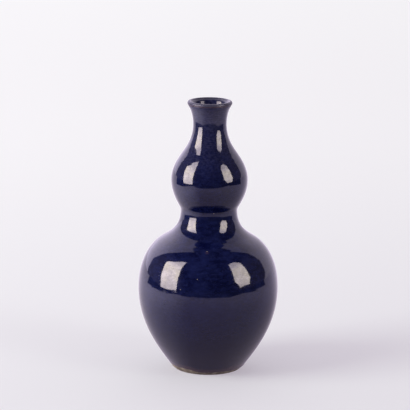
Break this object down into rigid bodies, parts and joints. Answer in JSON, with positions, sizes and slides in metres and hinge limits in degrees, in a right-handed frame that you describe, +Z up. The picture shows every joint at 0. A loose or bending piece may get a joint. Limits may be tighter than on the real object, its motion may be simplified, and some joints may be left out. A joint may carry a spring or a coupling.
{
  "type": "double gourd vase",
  "caption": "Glazed double gourd vase with a full lower bulb, a smaller upper bulb, a pinched waist, a slender neck and a flared lip.",
  "frame": {"origin": "centre of the foot, on the surface that the vase stands on", "axes": "+Z up along the axis of the vase; +X and +Y are equal, because it is turned"},
  "size_m": [0.1108, 0.1108, 0.2153],
  "materials": {
    "clay_body": "bare fired clay, fine matt grain",
    "clay_slip": "bare fired slip",
    "cobalt_glaze": "deep cobalt blue gloss glaze, faintly mottled",
    "rim_glaze": "thin brown gloss glaze",
    "clear_glaze": "pale clear gloss glaze"
  },
  "bodies": {
    "root": {"lower_bulb": "clay_body", "luting_slip": "clay_slip", "upper_bulb": "clay_body", "outer_glaze": "cobalt_glaze", "rim_glaze": "rim_glaze", "inner_glaze": "cobalt_glaze", "base_glaze": "clear_glaze"}
  },
  "joints": []
}
